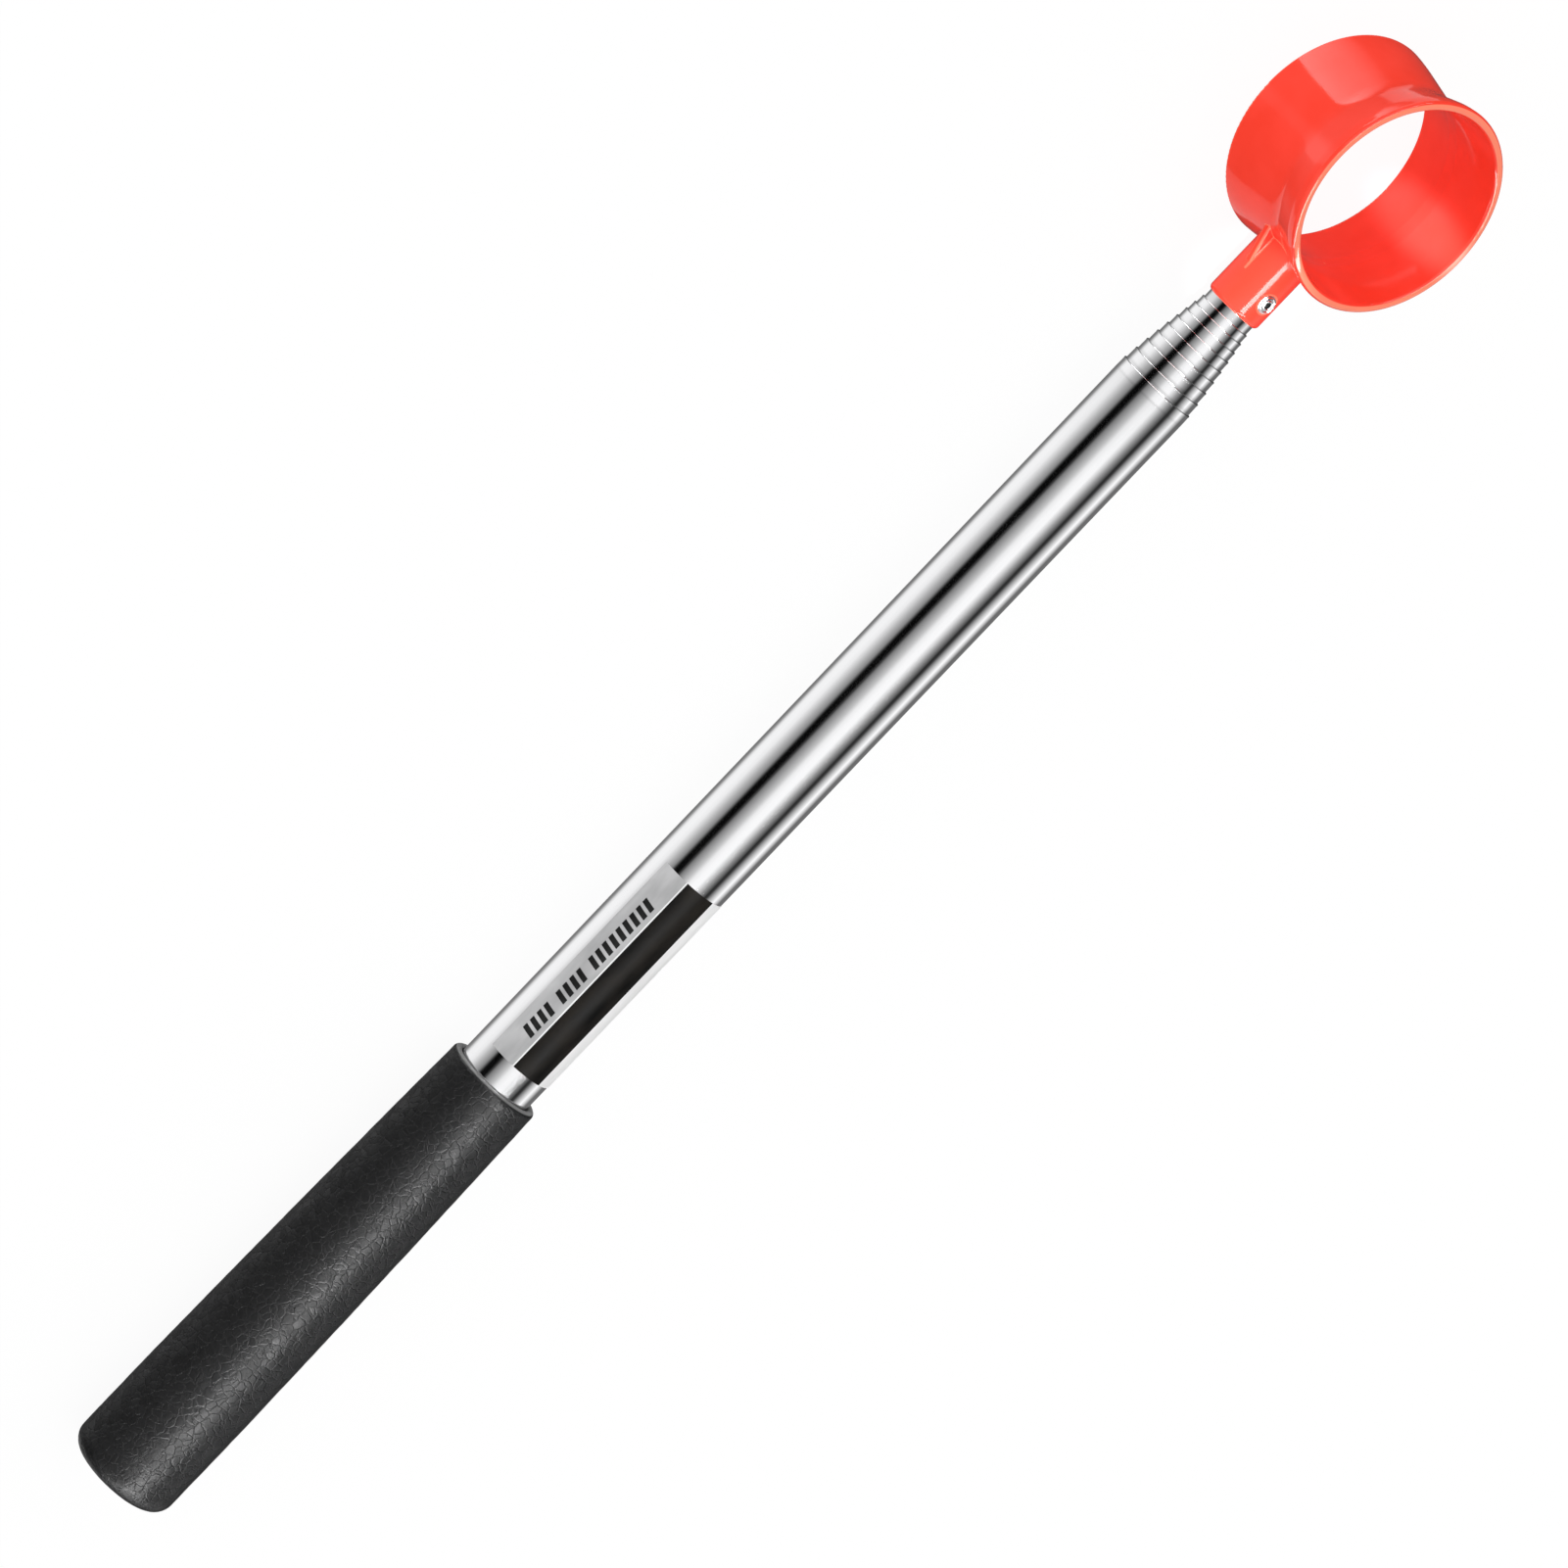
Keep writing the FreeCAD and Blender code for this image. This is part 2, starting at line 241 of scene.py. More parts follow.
RED_DEEP = (0.96, 0.052, 0.028)
RED_BRIGHT = (1.0, 0.060, 0.036)
# Paler red painted on as highlights on edges, gusset lines and the front lip.
RED_PAINTED_HIGHLIGHT = (1.0, 0.25, 0.15)
RED_RANGE = (0.35, 0.65)
# How far below the front lip's crest its painted highlight ends, and where it is still full.
LIP_HIGHLIGHT_BAND = 0.25 * MM
LIP_HIGHLIGHT_FULL = 0.6 * LIP_HIGHLIGHT_BAND
# Radius over which an edge gets a painted highlight, and the turn of the surface where it shows.
EDGE_HIGHLIGHT_RADIUS = 0.45 * MM
EDGE_HIGHLIGHT_TURN = (0.99, 0.95)
# Ends of a gusset's crest, where a highlight line is painted: along X from the ring's axis, and
# aside from the pole's axis.
GUSSET_TIP = (18.9 * MM, 10.0 * MM)
GUSSET_FOOT = (29.7 * MM, 6.1 * MM)
GUSSET_FACE_Z = 13.8 * MM
SEAM_FROM = 22.6 * MM
SEAM_ASIDE = 0.2 * MM
# Width and strength of the painted highlight lines on the gussets.
GUSSET_HIGHLIGHT_WIDTH = 0.42 * MM
GUSSET_HIGHLIGHT_SHARE = 0.55
# Noise levels between which smudges and foam patches change.
SMUDGE_RANGE = (0.4, 0.7)
FOAM_RANGE = (0.2, 0.8)
FOAM_DARK = (0.0006, 0.0006, 0.0008)
FOAM_LIGHT = (0.009, 0.009, 0.0095)
# A highlight painted round the grip's top rim: its colour, where it is still full and where it
# ends.
FOAM_RIM_HIGHLIGHT = (0.20, 0.20, 0.20)
FOAM_RIM_HIGHLIGHT_FULL = 0.15 * MM
FOAM_RIM_HIGHLIGHT_END = 0.35 * MM
FOAM_SCALES = 0.55 / MM
FOAM_BENDS = 0.5 / MM
FOAM_BENT = (2 * MM, 2 * MM, 2 * MM)
FOAM_RIDGE = 0.12
SCALE_SHARE = 0.45
MOTTLE_SHARE = 0.55
LABEL_SILVER = ((0.36, 0.36, 0.365), (0.52, 0.52, 0.525))
LABEL_WHITE = ((0.78, 0.78, 0.78), (0.88, 0.88, 0.88))
LABEL_BLACK = ((0.0012, 0.0012, 0.0012), (0.011, 0.009, 0.007))
LABEL_INK = ((0.003, 0.003, 0.003), (0.006, 0.006, 0.006))
LABEL_ROUGHER = 0.12


def near_line(tree, place, start, end, width):
    """1 on the line between two points, falling to 0 at a distance from it."""
    along = end - start
    out = add_node(tree, "ShaderNodeVectorMath", {0: place, 1: start},
                   operation="SUBTRACT").outputs[0]
    share = add_node(tree, "ShaderNodeVectorMath", {0: out, 1: along / along.length_squared},
                     operation="DOT_PRODUCT").outputs["Value"]
    kept = remap(tree, share, 0, 1, 0, 1)
    foot = add_node(tree, "ShaderNodeVectorMath", {0: along, "Scale": kept},
                    operation="SCALE").outputs[0]
    gap = add_node(tree, "ShaderNodeVectorMath", {0: out, 1: foot},
                   operation="DISTANCE").outputs["Value"]
    return remap(tree, gap, 0.5 * width, width, 1, 0)


def gusset_highlight_lines(tree, place):
    """Painted highlight lines along the crest and the seam of the gussets on both sides of the
    neck.
    """
    parts = add_node(tree, "ShaderNodeSeparateXYZ", {"Vector": place})
    folded = add_node(tree, "ShaderNodeCombineXYZ", {
        "X": parts.outputs["X"],
        "Y": calculate(tree, "ABSOLUTE", parts.outputs["Y"], 0.0),
        "Z": parts.outputs["Z"],
    }).outputs["Vector"]
    tip = Vector((RING_X + GUSSET_TIP[0], GUSSET_TIP[1], GUSSET_FACE_Z))
    foot = Vector((RING_X + GUSSET_FOOT[0], GUSSET_FOOT[1], GUSSET_FACE_Z))
    seam = Vector((RING_X + SEAM_FROM, GUSSET_FOOT[1] + SEAM_ASIDE, GUSSET_FACE_Z))
    seam_end = Vector((foot.x, seam.y, foot.z))
    crest_highlight = near_line(tree, folded, tip, foot, GUSSET_HIGHLIGHT_WIDTH)
    seam_highlight = near_line(tree, folded, seam, seam_end, GUSSET_HIGHLIGHT_WIDTH)
    return product(tree, calculate(tree, "MAXIMUM", crest_highlight, seam_highlight), GUSSET_HIGHLIGHT_SHARE)


def red_plastic():
    """Glossy orange-red moulded plastic, with paler highlights painted on its edges, along the
    gussets' crests and seams and on the front lip's crest.
    """
    material, tree, shader = new_material("red_plastic")
    clouds = remap(tree, grain(tree, EVEN, scale=0.10), *RED_RANGE, 0, 1)
    place = object_place(tree)
    height = add_node(tree, "ShaderNodeSeparateXYZ", {"Vector": place}).outputs["Z"]
    # Painted highlight: the front lip's crest is tinted paler.
    lip_highlight = remap(tree, height, RING_HIGH.z - LIP_HIGHLIGHT_BAND, RING_HIGH.z - LIP_HIGHLIGHT_FULL, 0, 1)
    # Painted highlight on rounded edges and seams, where the bevelled normal turns away from the
    # surface's own.
    blunted = add_node(tree, "ShaderNodeBevel", {"Radius": EDGE_HIGHLIGHT_RADIUS}).outputs["Normal"]
    facing = add_node(tree, "ShaderNodeNewGeometry", {}).outputs["Normal"]
    agree = add_node(tree, "ShaderNodeVectorMath", {0: blunted, 1: facing}, operation="DOT_PRODUCT")
    edge_highlight = remap(tree, agree.outputs["Value"], *EDGE_HIGHLIGHT_TURN, 0, 1)
    painted_highlight = calculate(tree, "MAXIMUM", lip_highlight, edge_highlight)
    # Painted highlight lines along the gussets' crests and seams.
    painted_highlight = calculate(tree, "MAXIMUM", painted_highlight, gusset_highlight_lines(tree, place))
    colour = mix_colour(tree, clouds, RED_DEEP, RED_BRIGHT)
    set_inputs(tree, shader, {
        # The painted highlights tint the base colour paler.
        "Base Color": mix_colour(tree, painted_highlight, colour, RED_PAINTED_HIGHLIGHT),
        "Roughness": spread(tree, grain(tree, EVEN, scale=0.25), 0.09, 0.13),
        "Specular IOR Level": 0.27,
        "Normal": bump(tree, grain(tree, EVEN, scale=0.5, detail=1), 0.004 * MM, strength=0.2),
    })
    return material


def polished_steel():
    """Mirror-polished drawn tube: fine draw lines along X and faint smudges."""
    material, tree, shader = new_material("polished_steel")
    lines = grain(tree, (0.01, 1, 1), scale=6, detail=4, roughness=0.6)
    smudges = remap(tree, grain(tree, (0.4, 1, 1), scale=0.15), *SMUDGE_RANGE, 0.03, 0.06)
    set_inputs(tree, shader, {
        "Base Color": (0.90, 0.90, 0.91, 1),
        "Metallic": 1,
        "Roughness": calculate(tree, "ADD", spread(tree, lines, 0.0, 0.02), smudges),
        "Normal": bump(tree, lines, 0.001 * MM, strength=0.2),
    })
    return material


def bright_steel():
    """Plated rivet steel, a little duller than the tubes."""
    material, tree, shader = new_material("bright_steel")
    marks = grain(tree, EVEN, scale=2)
    set_inputs(tree, shader, {
        "Base Color": (0.86, 0.86, 0.87, 1),
        "Metallic": 1,
        "Roughness": spread(tree, marks, 0.06, 0.14),
        "Normal": bump(tree, marks, 0.003 * MM, strength=0.2),
    })
    return material


def shaded_bore_steel():
    """Unpolished steel inside the rivet's bore, coloured near black as painted shade."""
    material, tree, shader = new_material("shaded_bore_steel")
    marks = grain(tree, EVEN, scale=3)
    set_inputs(tree, shader, {
        "Base Color": mix_colour(tree, marks, (0.010, 0.010, 0.010), (0.03, 0.03, 0.03)),
        "Metallic": 1,
        "Roughness": spread(tree, marks, 0.5, 0.7),
    })
    return material


def spring_brass():
    """Satin brass strip of the friction sleeves."""
    material, tree, shader = new_material("spring_brass")
    rolled = grain(tree, (0.05, 1, 1), scale=4)
    set_inputs(tree, shader, {
        "Base Color": mix_colour(tree, rolled, (0.60, 0.43, 0.17), (0.80, 0.62, 0.30)),
        "Metallic": 1,
        "Roughness": spread(tree, rolled, 0.25, 0.4),
    })
    return material


def black_plastic():
    """Matte black moulded plastic of the plug."""
    material, tree, shader = new_material("black_plastic")
    fine = grain(tree, EVEN, scale=5)
    set_inputs(tree, shader, {
        "Base Color": mix_colour(tree, fine, (0.015, 0.015, 0.015), (0.03, 0.03, 0.03)),
        "Roughness": 0.6,
        "Normal": bump(tree, fine, 0.02 * MM, strength=0.5),
    })
    return material


def black_foam():
    """Fine-celled foam: a scaly skin of small patches and wrinkles, with a paler highlight painted
    round the top rim.
    """
    material, tree, shader = new_material("black_foam")
    place = object_place(tree)
    bend_inputs = {"Vector": place, "Scale": FOAM_BENDS, "Detail": 3.0}
    bend = add_node(tree, "ShaderNodeTexNoise", bend_inputs).outputs["Color"]
    bent = add_node(tree, "ShaderNodeVectorMath", {0: bend, 1: FOAM_BENT},
                    operation="MULTIPLY").outputs[0]
    moved = add_node(tree, "ShaderNodeVectorMath", {0: place, 1: bent}, operation="ADD").outputs[0]
    cell_inputs = {"Vector": moved, "Scale": FOAM_SCALES}
    scales = add_node(tree, "ShaderNodeTexVoronoi", cell_inputs)
    edges = add_node(tree, "ShaderNodeTexVoronoi", cell_inputs, feature="DISTANCE_TO_EDGE")
    tone = add_node(tree, "ShaderNodeSeparateColor", {"Color": scales.outputs["Color"]})
    mottle = grain(tree, EVEN, scale=0.30, detail=5, roughness=0.65)
    cells = grain(tree, EVEN, scale=2.2, detail=4, roughness=0.7)
    blend = calculate(tree, "ADD", product(tree, tone.outputs[0], SCALE_SHARE),
                      product(tree, mottle, MOTTLE_SHARE))
    colour = mix_colour(tree, remap(tree, blend, *FOAM_RANGE, 0, 1), FOAM_DARK, FOAM_LIGHT)
    along = add_node(tree, "ShaderNodeSeparateXYZ", {"Vector": place}).outputs["X"]
    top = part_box("foam_grip")[0].x
    # Painted highlight: a paler band round the grip's top rim.
    rim = remap(tree, along, top + FOAM_RIM_HIGHLIGHT_FULL, top + FOAM_RIM_HIGHLIGHT_END, 1, 0)
    ridge = remap(tree, edges.outputs["Distance"], 0.0, FOAM_RIDGE, 0.0, 1.0)
    tilt = bump(tree, tone.outputs[1], 0.15 * MM, strength=0.9)
    coarse = bump(tree, ridge, 0.05 * MM, strength=0.9, before=tilt)
    set_inputs(tree, shader, {
        "Base Color": mix_colour(tree, rim, colour, FOAM_RIM_HIGHLIGHT),
        "Roughness": remap(tree, blend, *FOAM_RANGE, 0.52, 0.30),
        "Specular IOR Level": 0.38,
        "Normal": bump(tree, cells, 0.06 * MM, strength=0.7, before=coarse),
    })
    return material


def label_film(name, tones, rough=0.35, gloss=0.25):
    """One printed panel of the label's film, a little uneven in tone and gloss."""
    material, tree, shader = new_material(name)
    tone = grain(tree, (0.3, 1, 1), scale=0.3, detail=4)
    set_inputs(tree, shader, {
        "Base Color": mix_colour(tree, spread(tree, tone, 0, 1), *tones),
        "Roughness": spread(tree, tone, rough, rough + LABEL_ROUGHER),
        "Specular IOR Level": gloss,
        "Normal": bump(tree, grain(tree, EVEN, scale=2), 0.003 * MM, strength=0.3),
    })
    return material


# ----------------------------------------------------------------------- tubes

def tube_node(number):
    """The CAD node of a tube; 1 is the smallest and 10 the outer one."""
    return "outer_tube" if number == TUBE_COUNT else f"slide_tube_{number}"


def tube_body(number):
    """The body that a tube belongs to."""
    if number == 1:
        return "head"
    return "handle" if number == TUBE_COUNT else f"section_{number}"


def mouth_radius(node):
    """Outside radius of a node just behind its end nearest the ring."""
    low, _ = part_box(node)
    near = [v.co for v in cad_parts[node].data.vertices if v.co.x < low.x + MOUTH_REACH]
    return max(math.hypot(point.y, point.z - POLE_Z) for point in near)


def foot_outline(number, outer_r, gap):
    """Outline from the sleeve's groove to the flared foot of a sliding tube."""
    sleeve_low, sleeve_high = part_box(f"spring_sleeve_{number}")
    groove_start = sleeve_low.x - SLEEVE_END_CLEARANCE
    groove_end = sleeve_high.x + SLEEVE_END_CLEARANCE
    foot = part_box(tube_node(number))[1].x
    flare = gap - LIP_CLEARANCE
    inner_r = outer_r - TUBE_WALL
    return [
        (groove_start, outer_r),
        (groove_start, outer_r - GROOVE_DEPTH),
        (groove_end, outer_r - GROOVE_DEPTH),
        (groove_end, outer_r),
        (foot - FLARE_LENGTH - FLARE_SLOPE, outer_r),
        (foot - FLARE_LENGTH, outer_r + flare),
        (foot, outer_r + flare),
        (foot, inner_r + flare),
        (foot - FLARE_LENGTH, inner_r + flare),
        (foot - FLARE_LENGTH - FLARE_SLOPE, inner_r),
    ]


def build_tube(number, step, steel):
    """A tube with its mouth rolled in over the next smaller one."""
    node = tube_node(number)
    low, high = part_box(node)
    outer_r = mouth_radius(node)
    inner_r = outer_r - TUBE_WALL
    if number == 1:
        mouth = [(low.x, inner_r), (low.x, outer_r)]
        inside = []
    else:
        face_r = outer_r - step + LIP_CLEARANCE
        mouth = [(low.x, face_r)]
        mouth += arc(low.x + LIP_CURL, outer_r - LIP_CURL, LIP_CURL, 180, 90)
        mouth += [
            (low.x + BEAD_END, outer_r),
            (low.x + DIP_START, outer_r - BEAD_HEIGHT),
            (low.x + DIP_END, outer_r),
            (low.x + DIP_END + SETTLE, outer_r),
        ]
        inside = [(low.x + DIP_START, inner_r), (low.x + TUBE_WALL, face_r)]
    if number == TUBE_COUNT:
        foot = [(high.x, outer_r), (high.x, inner_r)]
    else:
        foot = foot_outline(number, outer_r, step - TUBE_WALL)
    mesh = lathe(node + "_fine", mouth + foot + inside, TUBE_SEGMENTS)
    mesh.materials.append(steel)
    new_piece(node + "_fine", mesh, tube_body(number), "polished_steel", node)


def build_tubes(steel):
    """All ten tubes of the pole."""
    step = mouth_radius(tube_node(3)) - mouth_radius(tube_node(2))
    for number in range(1, TUBE_COUNT + 1):
        build_tube(number, step, steel)


# ----------------------------------------------------------------------- rivet

RIVET_BORE_R = 0.75 * MM
RIVET_SHANK_R = 1.3 * MM
RIVET_HEAD_THICKNESS = 0.45 * MM
RIVET_ROLL = 0.22 * MM
GROOVE_FROM_R = 1.26 * MM
GROOVE_TO_R = 1.40 * MM
RIVET_GROOVE = 0.34 * MM
FLANGE_DROP = 0.12 * MM
WASHER_THICKNESS = 0.35 * MM
WASHER_CLEARANCE = 0.05 * MM
WASHER_ROUNDING = 0.12 * MM
RIVET_SEGMENTS = 64
STEEL, BORE = range(2)


def build_rivet(steel, bore):
    """The hollow rivet with rolled heads, and a washer under each head."""
    low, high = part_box("head_rivet")
    tip = (high.z - low.z) / 2
    head_r = (high.x - low.x) / 2
    seat = tip - RIVET_HEAD_THICKNESS
    flange = tip - FLANGE_DROP - RIVET_ROLL
    top = arc(tip - RIVET_ROLL, RIVET_BORE_R + RIVET_ROLL, RIVET_ROLL, -90, 80, steps=12)
    top += [(tip - RIVET_GROOVE, GROOVE_FROM_R), (tip - RIVET_GROOVE, GROOVE_TO_R)]
    top += arc(flange, head_r - RIVET_ROLL, RIVET_ROLL, 0, 90)
    top += [(seat, head_r), (seat, RIVET_SHANK_R)]
    bottom = [(-height, radius) for height, radius in reversed(top)]
    mesh = lathe("rivet_fine", top + bottom, RIVET_SEGMENTS, place=rivet_point)
    mesh.materials.append(steel)
    mesh.materials.append(bore)
    # Faces inside the bore take the near-black painted shade.
    for face in mesh.polygons:
        out = face.center - RIVET
        inner = math.hypot(out.x, out.y) < RIVET_BORE_R and abs(out.z) < tip - RIVET_ROLL
        face.material_index = BORE if inner else STEEL
    new_piece("rivet_fine", mesh, "head", "bright_steel", "head_rivet")
    washer_low, washer_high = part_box("rivet_washers")
    washer_r = (washer_high.x - washer_low.x) / 2
    hole_r = RIVET_SHANK_R + WASHER_CLEARANCE
    for name, side in (("washer_front", 1), ("washer_back", -1)):
        outer = seat - WASHER_ROUNDING
        outline = [(seat - WASHER_THICKNESS, hole_r), (seat, hole_r)]
        outline += arc(outer, washer_r - WASHER_ROUNDING, WASHER_ROUNDING, 0, 90)
        outline += [(seat - WASHER_THICKNESS, washer_r)]
        turned = [(side * height, radius) for height, radius in outline]
        mesh = lathe(name, turned, RIVET_SEGMENTS, place=rivet_point)
        mesh.materials.append(steel)
        new_piece(name, mesh, "head", "bright_steel", "rivet_washers")


# ------------------------------------------------------------------------ grip

GRIP_MIDDLE_R = 12.0 * MM
GRIP_STRAIGHT = 22.6 * MM
GRIP_TOP_ROUNDING = 0.9 * MM
GRIP_BUTT_ROUNDING = 4.0 * MM
GRIP_MOUTH_CHAMFER = 0.6 * MM
GRIP_FLOOR = 2.5 * MM
VENT_R = 1.0 * MM
GRIP_CELL = 0.6 * MM
GRIP_SEGMENTS = 132
RELIEF = 0.07 * MM
RELIEF_BROAD = 3.2 * MM
RELIEF_SMALL = 1.3 * MM
RELIEF_SHIFT = Vector((7, 3, 5))
BROAD_SHARE = 0.6
SMALL_SHARE = 0.4
RELIEF_SINK = 0.5


def grip_side(top, straight, top_r, butt_r):
    """Points down the grip's side: a slightly swelling taper through the middle radius."""
    middle = (top + straight) / 2
    count = int((straight - top) / GRIP_CELL)
    side = []
    for index in range(count + 1):
        x = top + (straight - top) * index / count
        share = (x - middle) / (straight - middle)
        chord = (top_r + butt_r) / 2 + share * (butt_r - top_r) / 2
        swell = (GRIP_MIDDLE_R - (top_r + butt_r) / 2) * (1 - share * share)
        side.append((x, chord + swell))
    return side


def build_grip(foam):
    """The foam grip, with the uneven skin that moulded foam has."""
    low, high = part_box("foam_grip")
    bore_r = mouth_radius("outer_tube")
    butt_r = (high.z - low.z) / 2
    top_r = mouth_radius("foam_grip")
    straight = high.x - GRIP_STRAIGHT
    butt = high.x - GRIP_BUTT_ROUNDING
    run = int((butt - straight) / GRIP_CELL)
    outline = [(low.x, bore_r + GRIP_MOUTH_CHAMFER)]
    outline += arc(low.x + GRIP_TOP_ROUNDING, top_r - GRIP_TOP_ROUNDING, GRIP_TOP_ROUNDING, 180, 90)
    outline += grip_side(low.x + GRIP_TOP_ROUNDING, straight, top_r, butt_r)[1:]
    outline += [(straight + (butt - straight) * index / run, butt_r) for index in range(1, run)]
    outline += arc(butt, butt_r - GRIP_BUTT_ROUNDING, GRIP_BUTT_ROUNDING, 90, 0, steps=10)
    face_r = butt_r - GRIP_BUTT_ROUNDING
    face_steps = int((face_r - VENT_R) / GRIP_CELL)
    outline += [(high.x, face_r + (VENT_R - face_r) * index / face_steps)
                for index in range(1, face_steps + 1)]
    outline += [
        (high.x - GRIP_FLOOR, VENT_R),
        (high.x - GRIP_FLOOR, bore_r),
        (low.x + GRIP_MOUTH_CHAMFER, bore_r),
    ]
    mesh = lathe("grip_foam", outline, GRIP_SEGMENTS)
    inside_r = bore_r + GRIP_MOUTH_CHAMFER
    for vertex in mesh.vertices:
        out = Vector((0, vertex.co.y, vertex.co.z - POLE_Z))
        if out.length > inside_r:
            broad = noise.noise(vertex.co / RELIEF_BROAD)
            small = noise.noise(vertex.co / RELIEF_SMALL + RELIEF_SHIFT)
            swell = BROAD_SHARE * broad + SMALL_SHARE * small - RELIEF_SINK
            vertex.co += out.normalized() * RELIEF * swell
    mesh.materials.append(foam)
    grip = new_piece("grip_foam", mesh, "handle", "black_foam", "foam_grip")


# ----------------------------------------------------------------------- label

SILVER, WHITE, BLACK = range(3)
LABEL_SEGMENTS = 170
SILVER_TO_DEG = 46.2
LINE_TO_DEG = 48.4
BLACK_TO_DEG = 96.2
BAR_PITCH = 2.05 * MM
BAR_WIDTH = 1.25 * MM
BAR_GROUPS = (4, 4, 9)
GROUP_GAP = 1.6 * MM
BAR_FROM_DEG = 21.4
BAR_TO_DEG = 39.6
BAR_SLANT = 0.5 * MM
BAR_STEPS = 5
INK_THICKNESS = 0.012 * MM


def build_label(silver, white, black):
    """The label's film, in panels of different colours."""
    low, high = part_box("wrap_label")
    tube_r = mouth_radius("outer_tube")
    outer_r = tube_r + LABEL_THICKNESS
    edge = LABEL_THICKNESS / 3
    outline = [
        (low.x, tube_r),
        (low.x, outer_r - edge),
        (low.x + edge, outer_r),
        (high.x - edge, outer_r),
        (high.x, outer_r - edge),
        (high.x, tube_r),
    ]
    mesh = lathe("label_film", outline, LABEL_SEGMENTS, LABEL_FROM_DEG, LABEL_TO_DEG)
    for material in (silver, white, black):
        mesh.materials.append(material)
    for face in mesh.polygons:
        degrees = math.degrees(math.atan2(face.center.z - POLE_Z, -face.center.y))
        if degrees < SILVER_TO_DEG:
            face.material_index = SILVER
        elif LINE_TO_DEG < degrees < BLACK_TO_DEG:
            face.material_index = BLACK
        else:
            face.material_index = WHITE
    new_piece("label_film", mesh, "handle", "label", "wrap_label")


def add_bar(shape, start, width, from_deg, to_deg, base_r, slant):
    """A slanted bar of ink, following the curve of the label."""
    columns = []
    for index in range(BAR_STEPS + 1):
        share = index / BAR_STEPS
        degrees = from_deg + (to_deg - from_deg) * share
        left = start + slant * share
        corners = []
        for x, radius in ((left, base_r), (left, base_r + INK_THICKNESS),
                          (left + width, base_r + INK_THICKNESS), (left + width, base_r)):
            corners.append(shape.verts.new(pole_point(x, radius, degrees)))
        columns.append(corners)
    for column, following in zip(columns, columns[1:]):
        for place in range(4):
            shape.faces.new((column[place - 1], column[place],
                             following[place], following[place - 1]))
    shape.faces.new(columns[0])
    shape.faces.new(columns[-1][::-1])


def build_print(ink):
    """Three groups of plain slanted bars printed on the silver panel."""
    low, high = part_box("wrap_label")
    base_r = mouth_radius("outer_tube") + LABEL_THICKNESS
    shape = bmesh.new()
    length = sum(BAR_GROUPS) * BAR_PITCH + (len(BAR_GROUPS) - 1) * GROUP_GAP
    x = high.x - (high.x - low.x - length) / 2
    for bars in BAR_GROUPS:
        for _ in range(bars):
            add_bar(shape, x - BAR_WIDTH, BAR_WIDTH, BAR_FROM_DEG, BAR_TO_DEG, base_r, BAR_SLANT)
            x -= BAR_PITCH
        x -= GROUP_GAP
    bmesh.ops.recalc_face_normals(shape, faces=shape.faces)
    mesh = bpy.data.meshes.new("label_print")
    shape.to_mesh(mesh)
    shape.free()
    smooth(mesh)
    mesh.materials.append(ink)
    new_piece("label_print", mesh, "handle", "label")


# ---------------------------------------------------------------------- studio

WHITE_LIGHT = (1, 1, 1, 1)
FLOOR_SIZE = 60.0
FLOOR_DROP = 0.02 * MM
FLOOR_GLOW = 0.94
# The flag lies under the ring. The neck card runs beside the neck; its middle is in Y and Z.
FLAG_CORNERS = 64
FLAG_R = 22.6 * MM
FLAG_DROP = 0.4 * MM
FLAG_LEVEL = 0.12
NECK_CARD_DEG = 80.0
NECK_CARD_MIDDLE = (-5.7 * MM, 33.5 * MM)
NECK_CARD_WIDTH = 5.4 * MM
NECK_CARD_FROM = 19.0 * MM
NECK_CARD_PAST = 0.4 * MM
NECK_CARD_LEVEL = 26.0
# The camera looks down on the ring's mouth from the near side, and a little along the pole.
RING_VIEW_DEG = 47.4
POLE_VIEW_DEG = 8.2
POLE_ON_SCREEN_DEG = 46.3
TARGET_FROM_RING = 171.3 * MM
TARGET_ASIDE = 1.0 * MM
FRAME_WIDTH = 321.2 * MM
LENS_MM = 162.0
SENSOR_MM = 36.0
CLIP_END = 100

# Brightness mirrored by the pole, by angle round it: floor side below 0, overhead at 90.
BANDS = (
    (-180, 0.16), (-110, 0.20), (-100.7, 0.255), (-93.4, 0.415), (-87.1, 0.70), (-76.3, 0.98),
    (-58.6, 0.995), (-43.8, 0.93), (-30.6, 0.68), (-18.5, 0.446), (-7.1, 0.267), (-4.3, 0.167),
    (-1.6, 0.075), (1.1, 0.02), (3.8, 0.002), (14.4, 0.003), (19.6, 0.055), (24.7, 0.22),
    (34.9, 0.39), (45, 0.589), (55.1, 0.93), (65, 1.04), (78, 1.06), (86.5, 0.755), (97.6, 0.365),
    (106.4, 0.17), (115.5, 0.02), (121.9, 0.05), (128.7, 0.276), (151.7, 1.10), (171.7, 0.31),
    (180, 0.128),
)
BANDS_SCALE = 1.2
# The bands change with x of the direction: from and to x, and the factor at each.
BANDS_AHEAD = (-0.02, 0.08, 0.35, 1.0)
BANDS_BEHIND = (0.205, 0.22, 1.0, 0.4)
SHADE_X = (0.20, 0.40, 0.0, -0.9)
SHADE_DEG = (-106.0, -94.0)
GLINT_X = (0.27, 0.36, 0.0, 0.9)
GLINT_DEG = (-22.0, -8.0)
